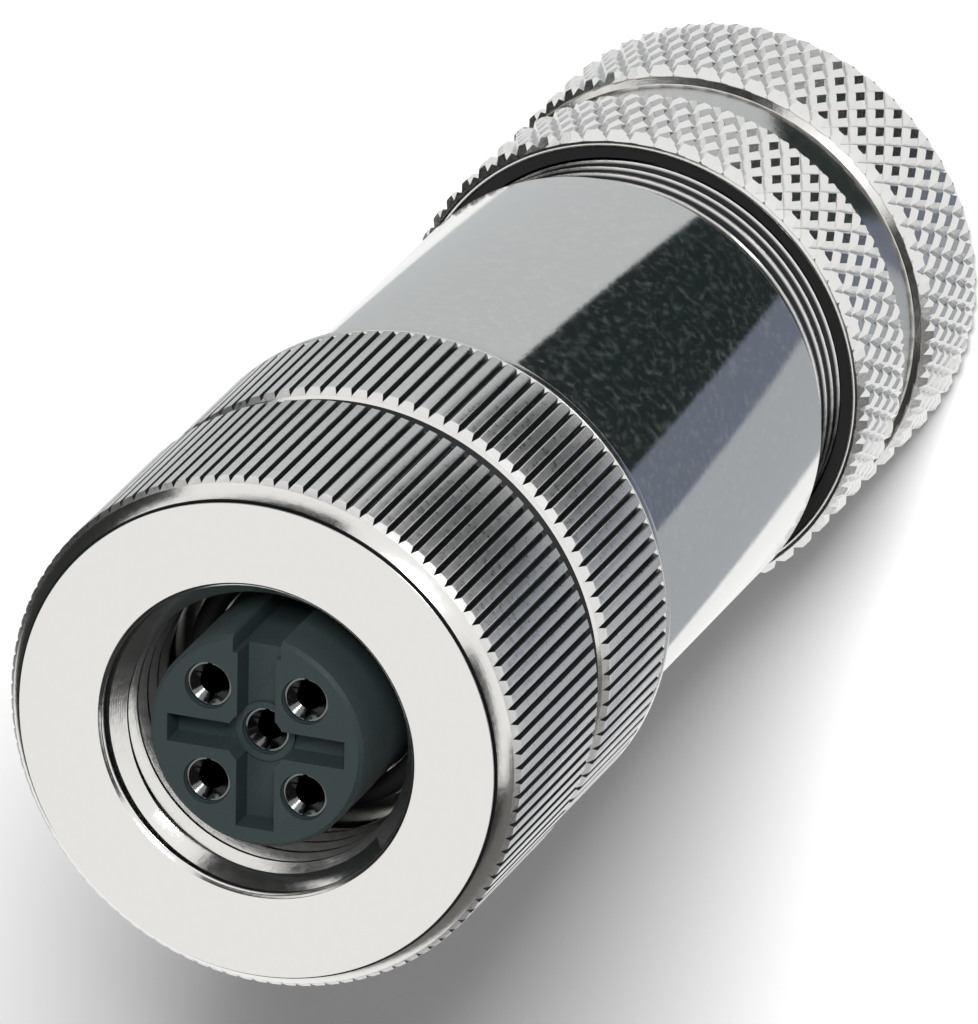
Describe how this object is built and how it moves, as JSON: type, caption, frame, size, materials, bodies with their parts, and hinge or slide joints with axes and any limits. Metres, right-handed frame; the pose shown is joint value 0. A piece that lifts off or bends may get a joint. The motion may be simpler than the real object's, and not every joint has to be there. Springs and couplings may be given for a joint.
{
  "type": "m12 field-wired cable socket connector",
  "caption": "Straight M12 cable connector with a knurled coupling nut, a black five-way socket insert, a polished round housing and a diamond-knurled pressure cap.",
  "frame": {"origin": "centre of the pressure cap's flat cable end, on the connector's axis", "axes": "+Z along the connector's axis to the socket face, +Y from the axis to the key slot"},
  "size_m": [0.0202, 0.0202, 0.0525],
  "materials": {
    "nickel": "satin nickel plate on brass",
    "polished_nickel": "polished nickel plate on brass",
    "spring_steel": "plain",
    "rubber": "matte",
    "insert_plastic": "fine matte moulding",
    "cage_plastic": "matte",
    "washer_plastic": "smooth",
    "contact_plate": "bright white plate on brass"
  },
  "bodies": {
    "cap": {"pressure_cap": "nickel", "cap_seal": "rubber"},
    "gland": {"slip_ring": "washer_plastic", "clamp_cage": "cage_plastic", "gland_seal": "rubber"},
    "main": {"housing": "polished_nickel", "carrier_sleeve": "nickel", "carrier_seal": "rubber", "contact_insert": "insert_plastic", "contact_1": "contact_plate", "contact_2": "contact_plate", "contact_3": "contact_plate", "contact_4": "contact_plate", "contact_5": "contact_plate", "terminal_screws": "spring_steel", "retaining_ring": "spring_steel", "face_seal": "rubber", "shield_cone": "nickel"},
    "nut": {"coupling_nut": "nickel"}
  },
  "joints": [
    {"name": "cap_turn", "type": "hinge", "parent": "cap", "child": "gland", "pos_m": [0, 0, 0.002], "axis": [0, 0, 1], "range_deg": [-720, 1080]},
    {"name": "gland_slide", "type": "slide", "parent": "gland", "child": "main", "axis": [0, 0, 1], "range_m": [-0.002, 0.003]},
    {"name": "nut_spin", "type": "hinge", "parent": "main", "child": "nut", "pos_m": [0, 0, 0.045], "axis": [0, 0, 1], "continuous": true}
  ],
  "couplings": [
    {"joint": "cap_turn", "follows": "gland_slide", "rad_per_m": 6283.2}
  ]
}
